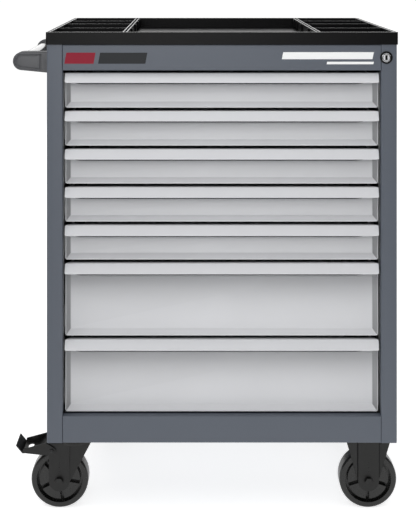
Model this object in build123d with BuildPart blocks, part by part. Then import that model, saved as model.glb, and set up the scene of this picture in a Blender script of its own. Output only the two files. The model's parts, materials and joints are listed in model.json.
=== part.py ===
"""Seven-drawer rolling tool chest.

A folded-steel cabinet with seven drawers on telescopic slides, a moulded organiser tray on top, a side push handle,
a front key lock that lifts one locking bar behind the drawers, two braked swivel casters under the handle end and
two rigid casters at the other end.

While modelling, X = 0 is the middle of the cabinet body, Y = 0 is the front face of its frame with +Y towards the
back, and Z = 0 is the floor. save() moves each finished piece to the row frame, whose origin is the bottom centre of
the whole object's box.
"""

import os

from build123d import *

os.makedirs("parts", exist_ok=True)

# ------------------------------------------------------------------ driving dimensions, in millimetres
# Cabinet body
sheet = 1.2  # folded steel sheet
bend = 2.5  # outside radius of a fold
body_width = 696.0
body_depth = 456.0
body_bottom = 152.5
body_top = 944.0
stile_width = 31.6  # each upright of the front frame
frame_return = 14.0  # how far the front frame's edges fold back
stile_foot = 12.0  # inner flange behind a stile
rear_flange = 18.0  # side panel's flange behind the back sheet
plinth_height = 53.5
fascia_height = 51.5
seam = 0.4  # gap between a stile and the rail beside it
back_inset = 0.5  # back panel inside each side panel's outer face
deck_gap = 0.2  # clearance between the inner plates and the side panels
base_metal = 2.0

# Organiser tray
tray_width = 700.0
tray_depth = 460.0
tray_height = 25.0
tray_floor = 3.0
tray_rim = 8.0
bay_divider_x = 193.5  # middle of the wall between a side bay and the wide bay
bay_divider = 9.0
lane_wall = 5.0
lane_walls = (129.0, 258.0, 357.0)  # middles of a side bay's cross walls, from the tray's front

# Drawers
drawer_unit = 76.0  # pitch of the shallow drawers
drawer_units = (1, 1, 1, 1, 1, 2, 2)  # from the top
top_front_extra = 0.4  # the top front is this much taller than the other shallow ones
front_gap = 6.3  # between a front's lower edge and the next front's top
first_gap = 5.9  # between the frame's top edge and the first drawer
front_half = 313.0
front_sheet = 1.2
rim_y = 14.0  # front face of a drawer front's rim
panel_y = 24.0  # front face of its pressed-in panel
rim_face = 2.0
slope_side = 7.5  # width of the pressed slopes at the left and right
slope_low = 8.5  # height of the pressed slope at the lower edge
pull_top_y = 10.0
pull_lip_y = -1.4
pull_drop = 16.6
pull_bead = 1.4  # radius of the rolled lower edge
pull_end = 10.0  # how far its ends are cut back at the rear
box_wall = 1.0
box_hem = 6.0
box_back = 430.0
box_lift = 3.0  # box floor above the front's lower edge
box_short = 14.0  # box height under its pitch
catch_x = 288.0  # left side of the hook behind a drawer
catch_width = 10.0
catch_rise = 44.0  # above the box floor's underside
catch_drop = 12.0
catch_metal = 1.5
catch_behind = 6.0  # how far the hook reaches past the locking bar's front face

# Telescopic slides
slide_face = 316.9  # inner face of the uprights, where the outer members sit
slide_space = 12.7
slide_height = 45.0
slide_metal = 1.2
slide_front = 30.0
slide_length = 400.0
slide_centre = 30.0  # above the box floor's underside
upright_places = (34.0, 400.0)  # front edges of the front and rear pair, from the frame's front
upright_depth = 18.0
upright_metal = 1.5
upright_short = 8.0  # top end under the opening's upper edge

# Lock
lock_x = 326.6
lock_z = 918.4
lock_face_radius = 12.5
lock_face = 2.2  # thickness of the housing's flange
lock_barrel_radius = 8.8
lock_barrel = 24.0  # length of the barrel behind the flange
plug_radius = 6.5
plug_proud = 0.6  # plug in front of the flange
plug_tail = 26.0  # rear end of the plug's square, behind the frame's front
plug_square = 4.0
key_slot = (1.8, 8.0)
key_depth = 12.0
lock_lift = 12.0
spindle_radius = 4.0
crank_radius = 11.0
crank_metal = 4.0
pin_radius = 2.0
pin_length = 5.0
bar_y = 438.0
bar_metal = 2.0
bar_width = 18.0
finger_height = 8.0
finger_rest = 14.5  # top of a finger under its drawer's catch at rest

# Push handle on the left side
handle_z = 906.5
handle_front = 40.0
handle_rear = 375.0
handle_block = 32.0  # width of a bracket along Y
nose_radius = 18.5
nose_x = -405.0
tube_radius = 13.0
tube_wall = 1.5

# Casters
wheel_radius = 58.0
wheel_width = 30.0
caster_x = 298.0
caster_y = 56.0  # from the front, and from the back for the rear pair
trail = 30.0
rear_swivel = 180.0  # how far the rear swivel caster is turned from the front one
plate_length = 100.0
plate_width = 85.0
plate_metal = 3.0
bolt_x = 80.0
bolt_y = 60.0
bolt_head_radius = 7.2
bolt_shank_radius = 4.0
bolt_hole_radius = 4.2
fork_metal = 2.5
fork_inside = 16.5
fork_pad = 2.0
fork_pad_width = 42.0
head_radius = 34.0
axle_radius = 5.0
axle_boss = 20.0  # radius of a cheek round its axle
king_pin_radius = 9.0
pivot_radius = 3.0  # brake pedal's pin
running = 0.1  # radial clearance of a turning fit
pedal_x = -343.0
pedal_z = 119.0
pedal_floor = ((-354.0, 134.0), (-374.0, 119.5), (-401.0, 117.5), (-413.5, 132.5))  # heel to toe, in X and Z
pedal_wall = ((-354.0, 136.0), (-401.0, 123.5), (-401.5, 117.0), (-398.0, 115.5), (-365.0, 112.0))
pedal_shoe = ((-351.3, 114.1), (-362.2, 111.2), (-363.0, 126.5), (-354.5, 132.5))
pedal_boss = 8.5
pedal_metal = 2.5
pedal_gap = 0.4

# ------------------------------------------------------------------ sizes that follow from them
half = body_width / 2
opening_half = half - stile_width
opening_bottom = body_bottom + plinth_height
opening_top = body_top - fascia_height
back_y = body_depth - sheet
rear_caster_y = body_depth - caster_y
left_reach = nose_radius - nose_x
right_reach = caster_x + wheel_radius
tray_front = -(tray_depth - body_depth) / 2
box_half = slide_face - slide_space
plate_bottom = body_bottom - plate_metal
fork_outside = fork_inside + fork_metal
pad_outside = fork_outside + fork_pad
swivel_x = -caster_x
swivel_axle_x = swivel_x - trail

# The row frame's origin is the bottom centre of the whole object's box, from the handle's nose to the rigid wheels.
to_row_frame = Location(((left_reach - right_reach) / 2, -(tray_front + tray_depth / 2), 0))


def save(part, name, turn=Location()):
    """Labels a finished piece, turns it, moves it to the row frame and writes its STEP file."""
    placed = part.moved(to_row_frame * turn)
    placed.label = name
    export_step(placed, f"parts/{name}.step")


def drawer_levels():
    """Lower and upper edge of every drawer front, from the top drawer down."""
    top = opening_top - first_gap
    lower_edge = top - top_front_extra
    for units in drawer_units:
        bottom = lower_edge - units * drawer_unit + front_gap
        yield bottom, top, units
        top = bottom - front_gap
        lower_edge = top


# ------------------------------------------------------------------ cabinet body


def side_panel(name, lock_hole, screw_holes):
    """One side of the body with its front stile and rear flange folded from the same sheet."""
    outline = [
        (opening_half + stile_foot, frame_return),
        (opening_half, frame_return),
        (opening_half, 0),
        (half, 0),
        (half, back_y),
        (half - rear_flange, back_y),
    ]
    with BuildPart() as panel:
        with BuildSketch(Plane.XY.offset(body_bottom)):
            with BuildLine():
                FilletPolyline(*outline, radius=bend)
                offset(amount=sheet, side=Side.LEFT)
            make_face()
        extrude(amount=body_top - body_bottom)
        if lock_hole:
            with BuildSketch(Plane.XZ.offset(-frame_return)):
                with Locations((lock_x, lock_z)):
                    Circle(lock_barrel_radius + running)
            extrude(amount=frame_return, mode=Mode.SUBTRACT)
        else:
            mirror(about=Plane.YZ, mode=Mode.REPLACE)
        if screw_holes:
            with BuildSketch(Plane.YZ.offset(-half)):
                with Locations(*handle_screw_places()):
                    Circle(3.2)
            extrude(amount=sheet, mode=Mode.SUBTRACT)
    save(panel.part, name)


def front_rail(name, low, high):
    """A folded channel between the stiles: the fascia over the drawers or the plinth under them."""
    with BuildPart() as rail:
        with BuildSketch(Plane.YZ.offset(-opening_half + seam)):
            with BuildLine():
                FilletPolyline((frame_return, low), (0, low), (0, high), (frame_return, high), radius=bend)
                offset(amount=sheet, side=Side.RIGHT)
            make_face()
        extrude(amount=2 * (opening_half - seam))
    save(rail.part, name)


def back_panel():
    """Flat sheet on the side panels' rear flanges."""
    with BuildPart() as panel:
        with BuildSketch(Plane.XZ.offset(-body_depth)):
            with Locations((0, (body_bottom + body_top) / 2)):
                Rectangle(body_width - 2 * back_inset, body_top - body_bottom)
        extrude(amount=sheet)
    save(panel.part, "back_panel")


def inner_plate(name, level, thickness):
    """A flat sheet across the inside of the body, level being its lower face."""
    front = frame_return + 1
    rear = back_y - 4
    with BuildPart() as plate:
        with BuildSketch(Plane.XY.offset(level)):
            with Locations((0, (front + rear) / 2)):
                Rectangle(body_width - 2 * sheet - 2 * deck_gap, rear - front)
            if name == "base_plate":
                for place in caster_places():
                    with Locations(place), GridLocations(bolt_x, bolt_y, 2, 2):
                        Circle(bolt_hole_radius, mode=Mode.SUBTRACT)
        extrude(amount=thickness)
    save(plate.part, name)


def slide_uprights():
    """Four vertical channels that carry the slides: front and rear, left and right."""
    foot = body_bottom + base_metal
    wall = half - sheet
    with BuildPart() as uprights:
        for front in upright_places:
            rear = front + upright_depth
            with BuildSketch(Plane.XY.offset(foot)):
                with BuildLine():
                    FilletPolyline((wall, front), (slide_face, front), (slide_face, rear), (wall, rear), radius=2)
                    offset(amount=upright_metal, side=Side.RIGHT)
                make_face()
            extrude(amount=opening_top - upright_short - foot)
        mirror(about=Plane.YZ)
    save(uprights.part, "slide_uprights")


# ------------------------------------------------------------------ telescopic slides


def slide_channel(inner_lip, outer_lip, web, reach, level, metal=slide_metal):
    """Draws a channel's section in a right-hand slide: web position, lip reach and half height from the slide face."""
    with Locations((slide_face - web - metal / 2, level)):
        Rectangle(metal, 2 * reach)
    for side in (1, -1):
        middle = (inner_lip + outer_lip) / 2
        with Locations((slide_face - middle, level + side * (reach - metal / 2))):
            Rectangle(outer_lip - inner_lip, metal)


def slide_member(inner_lip, outer_lip, web, reach, levels):
    """A pair of slide members, one each side of the drawer, at each level."""
    with BuildPart() as member:
        with BuildSketch(Plane.XZ.offset(-slide_front)):
            for level in levels:
                slide_channel(inner_lip, outer_lip, web, reach, level)
        extrude(amount=-slide_length)
        mirror(about=Plane.YZ)
    return member.part


def slides():
    """Outer members in one node, then an intermediate and an inner pair for every drawer."""
    reach = slide_height / 2
    levels = [bottom + box_lift + slide_centre for bottom, top, units in drawer_levels()]
    save(slide_member(0, 10.5, 0, reach, levels), "slide_outer_members")
    for number, level in enumerate(levels, 1):
        save(slide_member(2, 10.7, 5.75, reach - 1.9, [level]), f"drawer_{number}_slide_middle")
        save(slide_member(7.5, slide_space, slide_space - slide_metal, reach - 4.4, [level]), f"drawer_{number}_slide_inner")


# ------------------------------------------------------------------ drawers


def drawer_box(number, bottom, units):
    """Open steel tub with hemmed sides and, on its back wall, the catch that the locking bar hooks."""
    floor_z = bottom + box_lift
    height = units * drawer_unit - box_short
    front_y = panel_y + front_sheet + 0.2
    middle_y = (front_y + box_back) / 2
    depth = box_back - front_y
    with BuildPart() as box:
        with BuildSketch(Plane.XY.offset(floor_z)):
            with Locations((0, middle_y)):
                Rectangle(2 * box_half, depth)
        extrude(amount=height)
        with BuildSketch(Plane.XY.offset(floor_z + box_wall)):
            with Locations((0, middle_y)):
                Rectangle(2 * (box_half - box_wall), depth - 2 * box_wall)
        extrude(amount=height, mode=Mode.SUBTRACT)
        fillet(box.edges().filter_by(Axis.Y).group_by(Axis.Z)[0], radius=0.8)
        with BuildSketch(Plane.XY.offset(floor_z + height - box_wall)):
            for side in (1, -1):
                with Locations((side * (box_half - box_hem / 2), middle_y)):
                    Rectangle(box_hem, depth)
            with Locations((0, box_back - box_hem / 2)):
                Rectangle(2 * box_half, box_hem)
        extrude(amount=box_wall)
        catch_z = catch_level(bottom)
        catch_end = bar_y + catch_behind
        with BuildSketch(Plane.YZ.offset(catch_x)):
            with BuildLine():
                Polyline((box_back, catch_z), (catch_end, catch_z), (catch_end, catch_z - catch_drop))
                offset(amount=catch_metal, side=Side.RIGHT)
            make_face()
        extrude(amount=catch_width)
    save(box.part, f"drawer_{number}_box")


def dish_section(bottom, top, y, grow):
    """Section of a front's pressed hollow at depth y, grown by the sheet's thickness for its rear side."""
    share = (y - rim_y) / (panel_y - rim_y)
    half_width = front_half - rim_face + grow - slope_side * share
    low = bottom + rim_face - grow + slope_low * share
    with BuildSketch(Plane.XZ.offset(-y)) as section:
        with Locations((0, (low + top) / 2)):
            Rectangle(2 * half_width, top - low)
    return section.sketch


def pull_end_cuts(top, clear):
    """Plan of the two corners cut off the pull's flange, clear of the front's ends by the given amount."""
    with BuildSketch(Plane.XY.offset(top)) as cuts:
        for side in (1, -1):
            Polygon(
                (side * (front_half + clear), pull_top_y - clear),
                (side * (front_half - pull_end), panel_y + 2),
                (side * (front_half + clear), panel_y + 2),
                align=None,
            )
    return cuts.sketch


def drawer_front(number, bottom, top):
    """Pressed front: a rim, a dished panel behind it and a full-width pull folded out over the panel."""
    height = top - bottom
    middle_z = (bottom + top) / 2
    rear_y = panel_y + front_sheet

    with BuildPart() as rear_skin:
        loft(sections=[dish_section(bottom, top, y, front_sheet) for y in (rim_y, rear_y)])

    with BuildPart() as rear_void:
        with BuildSketch(Plane.XZ.offset(-rim_y - front_sheet)):
            with Locations((0, middle_z)):
                Rectangle(2 * (front_half - front_sheet), height - 2 * front_sheet)
        extrude(amount=-(rear_y - rim_y))
        add(rear_skin.part, mode=Mode.SUBTRACT)

    with BuildPart() as front:
        with BuildSketch(Plane.XZ.offset(-rim_y)) as rim:
            with Locations((0, middle_z)):
                Rectangle(2 * front_half, height)
            fillet(rim.vertices().group_by(Axis.Y)[0], radius=bend)
        extrude(amount=-(rear_y - rim_y))
        loft(sections=[dish_section(bottom, top, y, 0) for y in (rim_y, panel_y)], mode=Mode.SUBTRACT)
        add(rear_void.part, mode=Mode.SUBTRACT)
        extrude(pull_end_cuts(top, 0), amount=-8, mode=Mode.SUBTRACT)
        with BuildSketch(Plane.YZ.offset(-front_half)):
            with BuildLine():
                FilletPolyline((rear_y, top), (pull_top_y, top), (pull_lip_y, top - pull_drop), radius=bend)
                offset(amount=front_sheet, side=Side.LEFT)
            make_face()
            with Locations((pull_lip_y + front_sheet, top - pull_drop + 0.2)):
                Circle(pull_bead)
        extrude(amount=2 * front_half)
        extrude(pull_end_cuts(top, 1), amount=-8, mode=Mode.SUBTRACT)
    save(front.part, f"drawer_{number}_front")


def catch_level(bottom):
    """Height of a drawer's rear catch."""
    return bottom + box_lift + catch_rise


def drawers():
    for number, (bottom, top, units) in enumerate(drawer_levels(), 1):
        drawer_box(number, bottom, units)
        drawer_front(number, bottom, top)


# ------------------------------------------------------------------ lock


def lock():
    """Housing in the right stile, the plug that the key turns, its long spindle and the locking bar at the back."""
    flange = Plane.XZ.offset(lock_face)
    plug_front = Plane.XZ.offset(lock_face + plug_proud)
    barrel_end = lock_barrel - 0.8
    with BuildPart() as housing:
        with BuildSketch(flange):
            with Locations((lock_x, lock_z)):
                Circle(lock_face_radius)
        extrude(amount=-lock_face)
        chamfer(housing.edges().group_by(Axis.Y)[0], length=0.8)
        with BuildSketch(Plane.XZ):
            with Locations((lock_x, lock_z)):
                Circle(lock_barrel_radius)
        extrude(amount=-lock_barrel)
        with BuildSketch(flange):
            with Locations((lock_x, lock_z)):
                Circle(plug_radius + running)
        extrude(amount=-(lock_face + lock_barrel), mode=Mode.SUBTRACT)
    save(housing.part, "lock_housing")

    with BuildPart() as plug:
        with BuildSketch(plug_front):
            with Locations((lock_x, lock_z)):
                Circle(plug_radius)
        extrude(amount=-(lock_face + plug_proud + barrel_end))
        with BuildSketch(plug_front):
            with Locations((lock_x, lock_z)):
                Rectangle(*key_slot)
        extrude(amount=-key_depth, mode=Mode.SUBTRACT)
        with BuildSketch(Plane.XZ.offset(-barrel_end)):
            with Locations((lock_x, lock_z)):
                Rectangle(plug_square, plug_square)
        extrude(amount=-(plug_tail - barrel_end))
    save(plug.part, "lock_plug")

    pin = lock_lift / 2
    crank_y = bar_y - crank_metal - bar_metal
    with BuildPart() as spindle:
        with BuildSketch(Plane.XZ.offset(-plug_tail)):
            with Locations((lock_x, lock_z)):
                Circle(spindle_radius)
        extrude(amount=-(crank_y - plug_tail))
        with BuildSketch(Plane.XZ.offset(-crank_y)):
            with Locations((lock_x, lock_z)):
                Circle(crank_radius)
        extrude(amount=-crank_metal)
        with BuildSketch(Plane.XZ.offset(-crank_y - crank_metal)):
            with Locations((lock_x - pin, lock_z - pin)):
                Circle(pin_radius)
        extrude(amount=-pin_length)
    save(spindle.part, "lock_spindle")

    bar_left = lock_x - 0.75 * bar_width
    low = opening_bottom + 10
    high = lock_z + 2
    with BuildPart() as bar:
        with BuildSketch(Plane.XZ.offset(-bar_y)):
            with Locations((bar_left + bar_width / 2, (low + high) / 2)):
                Rectangle(bar_width, high - low)
            for bottom, top, units in drawer_levels():
                finger_z = catch_level(bottom) - finger_rest - finger_height / 2
                finger_left = catch_x - 2
                with Locations(((finger_left + bar_left) / 2, finger_z)):
                    Rectangle(bar_left - finger_left, finger_height)
            with Locations((lock_x - pin - 1.2, lock_z - pin)):
                Rectangle(4 * pin_radius, 2 * pin_radius + 0.9, mode=Mode.SUBTRACT)
        extrude(amount=-bar_metal)
    save(bar.part, "lock_bar")


# ------------------------------------------------------------------ organiser tray


def organiser_tray():
    """Moulded tray: a wide middle bay between two side bays, each split into lanes by cross walls."""
    top = body_top + tray_height
    inner_half = tray_width / 2 - tray_rim
    inner_depth = tray_depth - 2 * tray_rim
    middle_y = tray_front + tray_depth / 2
    side_inner = bay_divider_x + bay_divider / 2
    bay_half = bay_divider_x - bay_divider / 2
    lane_starts = [tray_rim] + [wall + lane_wall / 2 for wall in lane_walls]
    lane_ends = [wall - lane_wall / 2 for wall in lane_walls] + [tray_depth - tray_rim]
    with BuildPart() as tray:
        with BuildSketch(Plane.XY.offset(body_top)):
            with Locations((0, middle_y)):
                RectangleRounded(tray_width, tray_depth, 9)
        extrude(amount=tray_height)
        fillet(tray.edges().group_by(Axis.Z)[-1], radius=2)
        with BuildSketch(Plane.XY.offset(body_top + tray_floor)):
            with Locations((0, middle_y)):
                RectangleRounded(2 * bay_half, inner_depth, 6)
            for start, end in zip(lane_starts, lane_ends):
                for side in (1, -1):
                    with Locations((side * (side_inner + inner_half) / 2, tray_front + (start + end) / 2)):
                        RectangleRounded(inner_half - side_inner, end - start, 5)
        extrude(amount=tray_height, mode=Mode.SUBTRACT)
        fillet(tray.edges().filter_by(Plane.XY).group_by(Axis.Z)[-1], radius=1.2)
    save(tray.part, "organiser_tray")


# ------------------------------------------------------------------ push handle


def handle_screw_places():
    """Screws through the left side panel into the two brackets, as (Y, Z)."""
    return [
        (y, handle_z + dz)
        for y in (handle_front + handle_block / 2, handle_rear - handle_block / 2)
        for dz in (-14, 10)
    ]


def handle_bracket(name, front):
    """Bull-nosed bracket with a shallow recess in its outer face and a blind socket for the tube."""
    outward = front + handle_block / 2 < body_depth / 2
    face = front if outward else front + handle_block
    inward = -1 if outward else 1
    foot_x = -half
    with BuildPart() as bracket:
        with BuildSketch(Plane.XZ.offset(-face)):
            with BuildLine():
                start = Line((foot_x, handle_z + nose_radius), (nose_x, handle_z + nose_radius))
                nose = ThreePointArc(
                    start @ 1, (nose_x - nose_radius, handle_z), (nose_x, handle_z - nose_radius)
                )
                Polyline(nose @ 1, (foot_x, handle_z - nose_radius - 5.5), start @ 0)
            make_face()
        extrude(amount=inward * handle_block)
        rim = bracket.faces().sort_by(Axis.Y)[0 if outward else -1].edges()
        fillet(rim, radius=2.5)
        with BuildSketch(Plane.XZ.offset(-face)):
            with Locations(((nose_x - 366) / 2 + 0.5, handle_z)):
                SlotOverall(48, 26)
            with Locations((-376, handle_z)):
                Rectangle(20, 26)
        extrude(amount=inward * 1.6, mode=Mode.SUBTRACT)
        with BuildSketch(Plane.XZ.offset(-face - (-inward) * 14)):
            with Locations((nose_x, handle_z)):
                Circle(tube_radius + 0.05)
        extrude(amount=inward * handle_block, mode=Mode.SUBTRACT)
        with BuildSketch(Plane.YZ.offset(foot_x)):
            with Locations(*[(y, z) for y, z in handle_screw_places() if abs(y - face) < handle_block]):
                Circle(3.0)
        extrude(amount=-20, mode=Mode.SUBTRACT)
    save(bracket.part, name)


def push_handle():
    handle_bracket("handle_bracket_front", handle_front)
    handle_bracket("handle_bracket_rear", handle_rear - handle_block)
    tube_start = handle_front + 14.2
    tube_end = handle_rear - 14.2
    with BuildPart() as tube:
        with BuildSketch(Plane.XZ.offset(-tube_start)):
            with Locations((nose_x, handle_z)):
                Circle(tube_radius)
                Circle(tube_radius - tube_wall, mode=Mode.SUBTRACT)
        extrude(amount=-(tube_end - tube_start))
    save(tube.part, "handle_tube")

    with BuildPart() as screws:
        with BuildSketch(Plane.YZ.offset(-half + sheet)):
            with Locations(*handle_screw_places()):
                Circle(5.5)
        extrude(amount=3)
        with BuildSketch(Plane.YZ.offset(-half + sheet)):
            with Locations(*handle_screw_places()):
                Circle(2.9)
        extrude(amount=-18)
    save(screws.part, "handle_screws")


# ------------------------------------------------------------------ casters


def caster_places():
    """Middle of each caster plate: front left, rear left, front right, rear right."""
    return [
        (-caster_x, caster_y),
        (-caster_x, rear_caster_y),
        (caster_x, caster_y),
        (caster_x, rear_caster_y),
    ]


def caster_plate_sketch(place):
    """Outline of a caster's top plate with its four bolt holes."""
    with Locations(place):
        RectangleRounded(plate_length, plate_width, 6)
    with Locations(place), GridLocations(bolt_x, bolt_y, 2, 2):
        Circle(bolt_hole_radius, mode=Mode.SUBTRACT)


def swivel_plates():
    """Fixed half of both swivel casters: top plate, upper race and the king pin with its retaining collar."""
    with BuildPart() as plates:
        for place in caster_places()[:2]:
            with BuildSketch(Plane.XY.offset(plate_bottom)):
                caster_plate_sketch(place)
            extrude(amount=plate_metal)
            with BuildSketch(Plane.XY.offset(plate_bottom)):
                with Locations(place):
                    Circle(head_radius - 2)
            extrude(amount=-5)
            with BuildSketch(Plane.XY.offset(plate_bottom - 5)):
                with Locations(place):
                    Circle(king_pin_radius)
            extrude(amount=-14)
            with BuildSketch(Plane.XY.offset(plate_bottom - 16)):
                with Locations(place):
                    RegularPolygon(13, 6)
            extrude(amount=-5)
    save(plates.part, "swivel_plates")


def fork_outline(axle_x, top_low_x, top_high_x, top):
    """A fork's cheek in X and Z: round the axle below, spreading to its full width at the top."""
    with BuildSketch() as cheek:
        with Locations((axle_x, wheel_radius)):
            Circle(axle_boss)
        with BuildLine():
            Line((top_low_x, top), (top_high_x, top))
        make_hull()
    return cheek.sketch


def band_outline(axle_x, top):
    """The raised band down the middle of a cheek."""
    with BuildSketch() as band:
        with Locations((axle_x, wheel_radius)):
            Circle(fork_pad_width / 2)
        with Locations((axle_x, (wheel_radius + top) / 2)):
            Rectangle(fork_pad_width, top - wheel_radius)
    return band.sketch


def both_sides(outline, middle_y, inside, thickness):
    """Adds the same plate on both sides of a wheel, inside being its distance from the wheel's middle plane."""
    for side in (1, -1):
        with BuildSketch(Plane.XZ.offset(-(middle_y + side * inside))) as plate:
            add(outline)
        extrude(plate.sketch, amount=-side * thickness)


def cross_hole(x, z, middle_y, radius):
    """Drills both cheeks of a fork along Y."""
    with BuildSketch(Plane.XZ.offset(-(middle_y - pad_outside - 1))) as hole:
        with Locations((x, z)):
            Circle(radius)
    extrude(hole.sketch, amount=-(2 * pad_outside + 2), mode=Mode.SUBTRACT)


def swivel_turn(middle_y):
    """Turn of a swivel caster about its king pin: none at the front, rear_swivel at the rear."""
    angle = rear_swivel if middle_y == rear_caster_y else 0
    king_pin = Location((swivel_x, middle_y, 0))
    return king_pin * Location((0, 0, 0), (0, 0, angle)) * king_pin.inverse()


def swivel_fork(name, middle_y):
    """Turning half of a swivel caster: race, bridge and two cheeks with a raised band down to the axle."""
    bridge_z = plate_bottom - 14.5
    head_top = plate_bottom - 5.5
    low_x = swivel_axle_x - 19
    high_x = swivel_x + head_radius
    with BuildPart() as fork:
        with BuildSketch(Plane.XY.offset(bridge_z)):
            with Locations(((low_x + high_x) / 2, middle_y)):
                Rectangle(high_x - low_x, 2 * fork_outside)
        extrude(amount=fork_metal)
        with BuildSketch(Plane.XY.offset(bridge_z)):
            with Locations((swivel_x, middle_y)):
                Circle(head_radius)
        extrude(amount=head_top - bridge_z)
        fillet(fork.edges().group_by(Axis.Z)[-1], radius=3)
        both_sides(fork_outline(swivel_axle_x, low_x, high_x, bridge_z), middle_y, fork_inside, fork_metal)
        both_sides(band_outline(swivel_axle_x, bridge_z - 1), middle_y, fork_outside, fork_pad)
        with BuildSketch(Plane.XY.offset(head_top)):
            with Locations((swivel_x, middle_y)):
                Circle(king_pin_radius + running)
        extrude(amount=-20, mode=Mode.SUBTRACT)
        cross_hole(swivel_axle_x, wheel_radius, middle_y, axle_radius + running)
        cross_hole(pedal_x, pedal_z, middle_y, pivot_radius + running)
    save(fork.part, name, swivel_turn(middle_y))


def rigid_forks():
    """Both rigid casters' bodies: the plate and the two cheeks folded from it, with a raised band down each."""
    cheek = fork_outline(caster_x, caster_x - 48, caster_x + 48, plate_bottom)
    with BuildPart() as forks:
        for place in caster_places()[2:]:
            middle_y = place[1]
            with BuildSketch(Plane.XY.offset(plate_bottom)) as plate:
                caster_plate_sketch(place)
            extrude(plate.sketch, amount=plate_metal)
            both_sides(cheek, middle_y, fork_inside, fork_metal)
            both_sides(band_outline(caster_x, plate_bottom), middle_y, fork_outside, fork_pad)
            cross_hole(caster_x, wheel_radius, middle_y, axle_radius + running)
    save(forks.part, "rigid_forks")


def axle(x, middle_y):
    """Adds an axle bolt with its hexagon head in front and its nut behind."""
    for y, radius, amount in (
        (middle_y - pad_outside, 8.5, 6),
        (middle_y + pad_outside, 8.5, -7),
        (middle_y - pad_outside, axle_radius, -(2 * pad_outside + 9)),
    ):
        with BuildSketch(Plane.XZ.offset(-y)) as section:
            with Locations((x, wheel_radius)):
                if radius == axle_radius:
                    Circle(radius)
                else:
                    RegularPolygon(radius, 6)
        extrude(section.sketch, amount=amount)


def caster_wheel(name, x, middle_y, first_slot, turn=Location()):
    """One-piece wheel: crowned tread, deep rim, hub and five raised petals parted by radial slots."""
    rim_half = wheel_width / 2
    hub_half = fork_inside - 0.5
    groove_outer = 46.5
    petal_outer = 41.0
    hub_outer = 15.0
    web_half = 3.0
    petal_half = rim_half - 3.5
    middle = Plane(origin=(x, middle_y, wheel_radius), x_dir=(1, 0, 0), z_dir=(0, -1, 0))
    with BuildPart() as wheel:
        with BuildSketch(middle):
            Circle(wheel_radius)
        extrude(amount=rim_half, both=True)
        fillet(wheel.edges(), radius=5)
        for side in (1, -1):
            with BuildSketch(middle.offset(side * rim_half)):
                Circle(groove_outer)
                Circle(hub_outer, mode=Mode.SUBTRACT)
            extrude(amount=-side * (rim_half - web_half), mode=Mode.SUBTRACT)
            with BuildSketch(middle.offset(side * web_half)):
                Circle(petal_outer)
                Circle(hub_outer - 0.5, mode=Mode.SUBTRACT)
                with PolarLocations(0, 5, start_angle=first_slot):
                    with Locations((31, 0)):
                        SlotOverall(26, 7, mode=Mode.SUBTRACT)
            extrude(amount=side * (petal_half - web_half))
            with BuildSketch(middle.offset(side * rim_half)):
                Circle(hub_outer)
            extrude(amount=side * (hub_half - rim_half))
        with BuildSketch(middle.offset(hub_half)):
            Circle(axle_radius + running)
        extrude(amount=-2 * hub_half, mode=Mode.SUBTRACT)
    save(wheel.part, name, turn)


def pedal_ear():
    """Side wall of the brake pedal in X and Z, rounded about its pivot."""
    with BuildSketch() as ear:
        Polygon((pedal_x + 4, pedal_z + 7.5), *pedal_wall, (pedal_x, pedal_z - pedal_boss), align=None)
        with Locations((pedal_x, pedal_z)):
            Circle(pedal_boss)
    return ear.sketch


def brake_pedal(name, middle_y):
    """Foot pedal: a pierced floor with an upturned toe between two side walls, the brake shoe and the pivot pin."""
    ear_inside = pad_outside + pedal_gap
    ear_outside = ear_inside + pedal_metal
    front = Plane.XZ.offset(-(middle_y - ear_outside))
    with BuildPart() as pedal:
        with BuildSketch(front):
            with BuildLine():
                Polyline(*pedal_floor)
                offset(amount=pedal_metal, side=Side.LEFT)
            make_face()
        extrude(amount=-2 * ear_outside)
        both_sides(pedal_ear(), middle_y, ear_inside, pedal_metal)
        with BuildSketch(Plane.XY.offset(body_bottom)):
            with Locations((-388, middle_y)):
                SlotOverall(24, 11, rotation=90)
        extrude(amount=-60, mode=Mode.SUBTRACT)
        with BuildSketch(Plane.XZ.offset(-(middle_y - 11))):
            Polygon(*pedal_shoe, align=None)
        extrude(amount=-22)
        with BuildSketch(front):
            with Locations((pedal_x, pedal_z)):
                Circle(pivot_radius)
        extrude(amount=-2 * ear_outside)
        with BuildSketch() as pin_head:
            with Locations((pedal_x, pedal_z)):
                Circle(5)
        both_sides(pin_head.sketch, middle_y, ear_outside, 2)
    save(pedal.part, name, swivel_turn(middle_y))


def caster_fasteners():
    """Bolts through the caster plates and the base plate, with their nuts, sixteen of each."""
    with BuildPart() as fasteners:
        for place in caster_places():
            for level, radius, amount in (
                (plate_bottom, bolt_head_radius, -5.3),
                (plate_bottom, bolt_shank_radius, 14.0),
                (body_bottom + base_metal, bolt_head_radius, 6.5),
            ):
                with BuildSketch(Plane.XY.offset(level)):
                    with Locations(place), GridLocations(bolt_x, bolt_y, 2, 2):
                        if radius == bolt_head_radius:
                            RegularPolygon(radius, 6)
                        else:
                            Circle(radius)
                extrude(amount=amount)
    save(fasteners.part, "caster_fasteners")


def casters():
    swivel_plates()
    rigid_forks()
    caster_fasteners()
    slot_angles = {"front_left": 134, "rear_left": 100, "front_right": 269, "rear_right": 20}
    for place, end in zip(caster_places(), slot_angles):
        x, y = place
        if x < 0:
            swivel_fork(f"swivel_fork_{end}", y)
            brake_pedal(f"brake_pedal_{end}", y)
            with BuildPart() as bolt:
                axle(swivel_axle_x, y)
            save(bolt.part, f"axle_bolt_{end}", swivel_turn(y))
            caster_wheel(f"wheel_{end}", swivel_axle_x, y, slot_angles[end], swivel_turn(y))
        else:
            caster_wheel(f"wheel_{end}", x, y, slot_angles[end])
    with BuildPart() as bolts:
        for place in caster_places()[2:]:
            axle(caster_x, place[1])
    save(bolts.part, "rigid_axle_bolts")


# ------------------------------------------------------------------ build everything

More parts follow.
